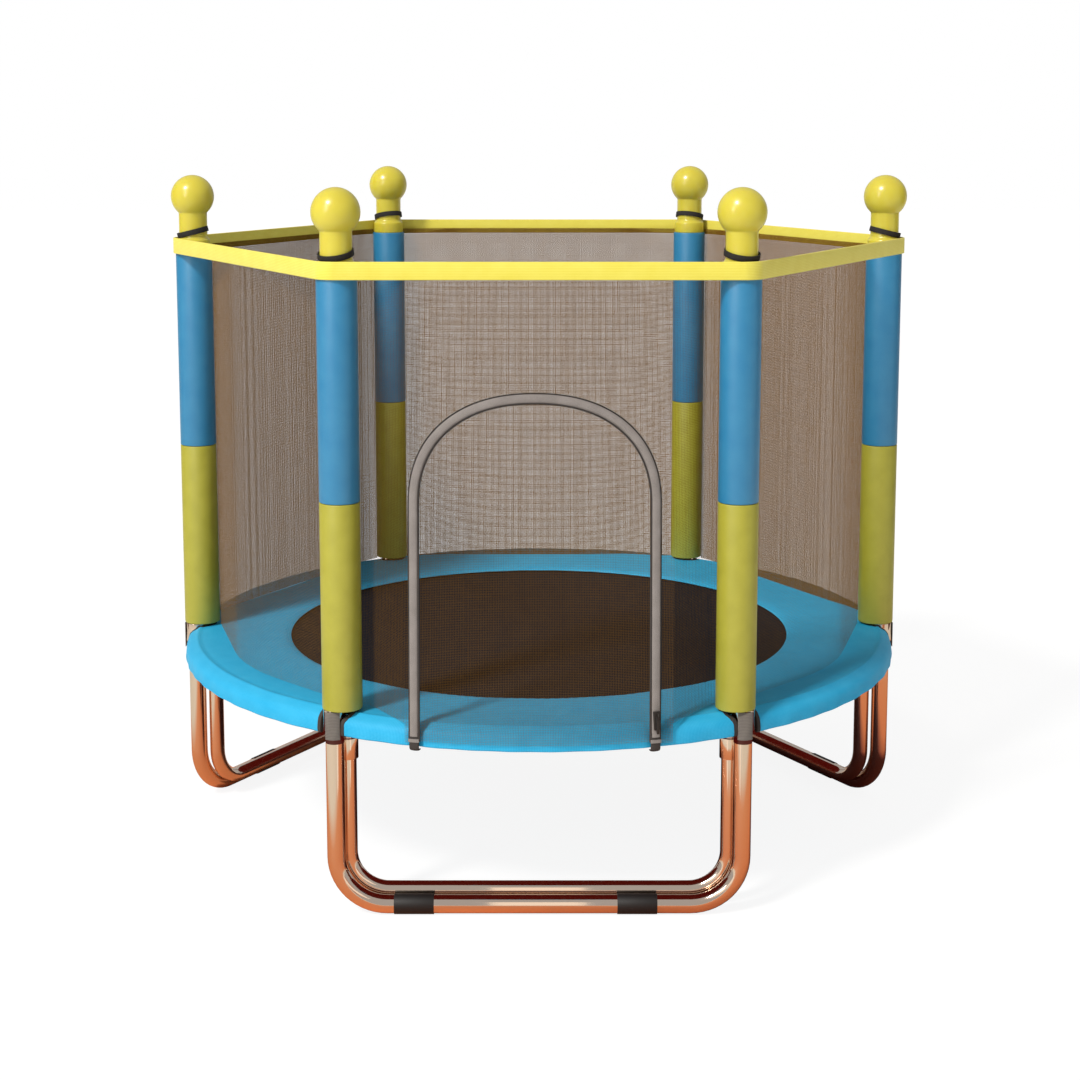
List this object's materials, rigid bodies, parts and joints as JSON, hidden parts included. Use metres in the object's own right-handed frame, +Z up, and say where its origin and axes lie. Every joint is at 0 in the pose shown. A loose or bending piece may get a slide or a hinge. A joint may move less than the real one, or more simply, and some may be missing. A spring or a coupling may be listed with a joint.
{
  "type": "trampoline",
  "caption": "Child's round trampoline with a net enclosure, foam-sleeved posts with ball caps, double U legs, a padded skirt and a zipped arch door.",
  "frame": {"origin": "on the floor, under the middle of the mat", "axes": "+Z up; -Y out through the zipped door; +X to the right of someone who faces the door"},
  "size_m": [1.2414, 1.2127, 1.0916],
  "materials": {
    "chromed_tube": "bright chromed steel tube with a warm tint",
    "grip_rubber": "matt black rubber",
    "yellow_foam_cover": "yellow-green woven cover over foam",
    "blue_foam_cover": "blue woven cover over foam",
    "yellow_plastic": "glossy yellow moulded plastic",
    "black_elastic": "black woven elastic",
    "mat_weave": "near-black woven jumping cloth",
    "pad_vinyl": "sky-blue coated cloth, slightly glossy",
    "yellow_webbing": "pale yellow polyester webbing",
    "net_mesh": "fine dark knitted mesh",
    "zip_tape_grey": "grey woven zip tape with teeth",
    "zip_metal": "dark coated zip slider"
  },
  "bodies": {
    "frame": {"ring_front": "chromed_tube", "outer_leg_front": "chromed_tube", "inner_leg_front": "chromed_tube", "foot_grip_front_1": "grip_rubber", "foot_grip_front_2": "grip_rubber", "ring_rear_right": "chromed_tube", "outer_leg_rear_right": "chromed_tube", "inner_leg_rear_right": "chromed_tube", "foot_grip_rear_right_1": "grip_rubber", "foot_grip_rear_right_2": "grip_rubber", "ring_rear_left": "chromed_tube", "outer_leg_rear_left": "chromed_tube", "inner_leg_rear_left": "chromed_tube", "foot_grip_rear_left_1": "grip_rubber", "foot_grip_rear_left_2": "grip_rubber", "post_front_left": "chromed_tube", "sleeve_lower_front_left": "yellow_foam_cover", "sleeve_upper_front_left": "blue_foam_cover", "ball_cap_front_left": "yellow_plastic", "elastic_loop_front_left": "black_elastic", "post_front_right": "chromed_tube", "sleeve_lower_front_right": "yellow_foam_cover", "sleeve_upper_front_right": "blue_foam_cover", "ball_cap_front_right": "yellow_plastic", "elastic_loop_front_right": "black_elastic", "post_right": "chromed_tube", "sleeve_lower_right": "yellow_foam_cover", "sleeve_upper_right": "blue_foam_cover", "ball_cap_right": "yellow_plastic", "elastic_loop_right": "black_elastic", "post_back_right": "chromed_tube", "sleeve_lower_back_right": "yellow_foam_cover", "sleeve_upper_back_right": "blue_foam_cover", "ball_cap_back_right": "yellow_plastic", "elastic_loop_back_right": "black_elastic", "post_back_left": "chromed_tube", "sleeve_lower_back_left": "yellow_foam_cover", "sleeve_upper_back_left": "blue_foam_cover", "ball_cap_back_left": "yellow_plastic", "elastic_loop_back_left": "black_elastic", "post_left": "chromed_tube", "sleeve_lower_left": "yellow_foam_cover", "sleeve_upper_left": "blue_foam_cover", "ball_cap_left": "yellow_plastic", "elastic_loop_left": "black_elastic", "elastic_lacing": "black_elastic", "ring_pad": "pad_vinyl", "top_band": "yellow_webbing", "net_front": "net_mesh", "net_front_right": "net_mesh", "net_back_right": "net_mesh", "net_back": "net_mesh", "net_back_left": "net_mesh", "net_front_left": "net_mesh", "zip_tape": "zip_tape_grey"},
    "mat": {"bounce_mat": "mat_weave"},
    "door": {"door_flap": "net_mesh"},
    "slider": {"zip_slider": "zip_metal"},
    "pull": {"zip_pull": "zip_metal"}
  },
  "joints": [
    {"name": "mat_bounce", "type": "slide", "parent": "frame", "child": "mat", "axis": [0, 0, 1], "range_m": [-0.08, 0], "stiffness_N_per_m": 3000, "springref_m": 0.02, "deforming": ["elastic_lacing"]},
    {"name": "door_swing", "type": "hinge", "parent": "frame", "child": "door", "pos_m": [-0.006, -0.6095, 0.2925], "axis": [1, 0, 0], "range_deg": [0, 100]},
    {"name": "zip_slide", "type": "slide", "parent": "frame", "child": "slider", "axis": [0, 0.0702, 0.9975], "range_m": [0, 0.3]},
    {"name": "pull_swing", "type": "hinge", "parent": "slider", "child": "pull", "pos_m": [0.17101, -0.59365, 0.33391], "axis": [-0.9701, -0.2426, 0], "range_deg": [0, 150]}
  ]
}
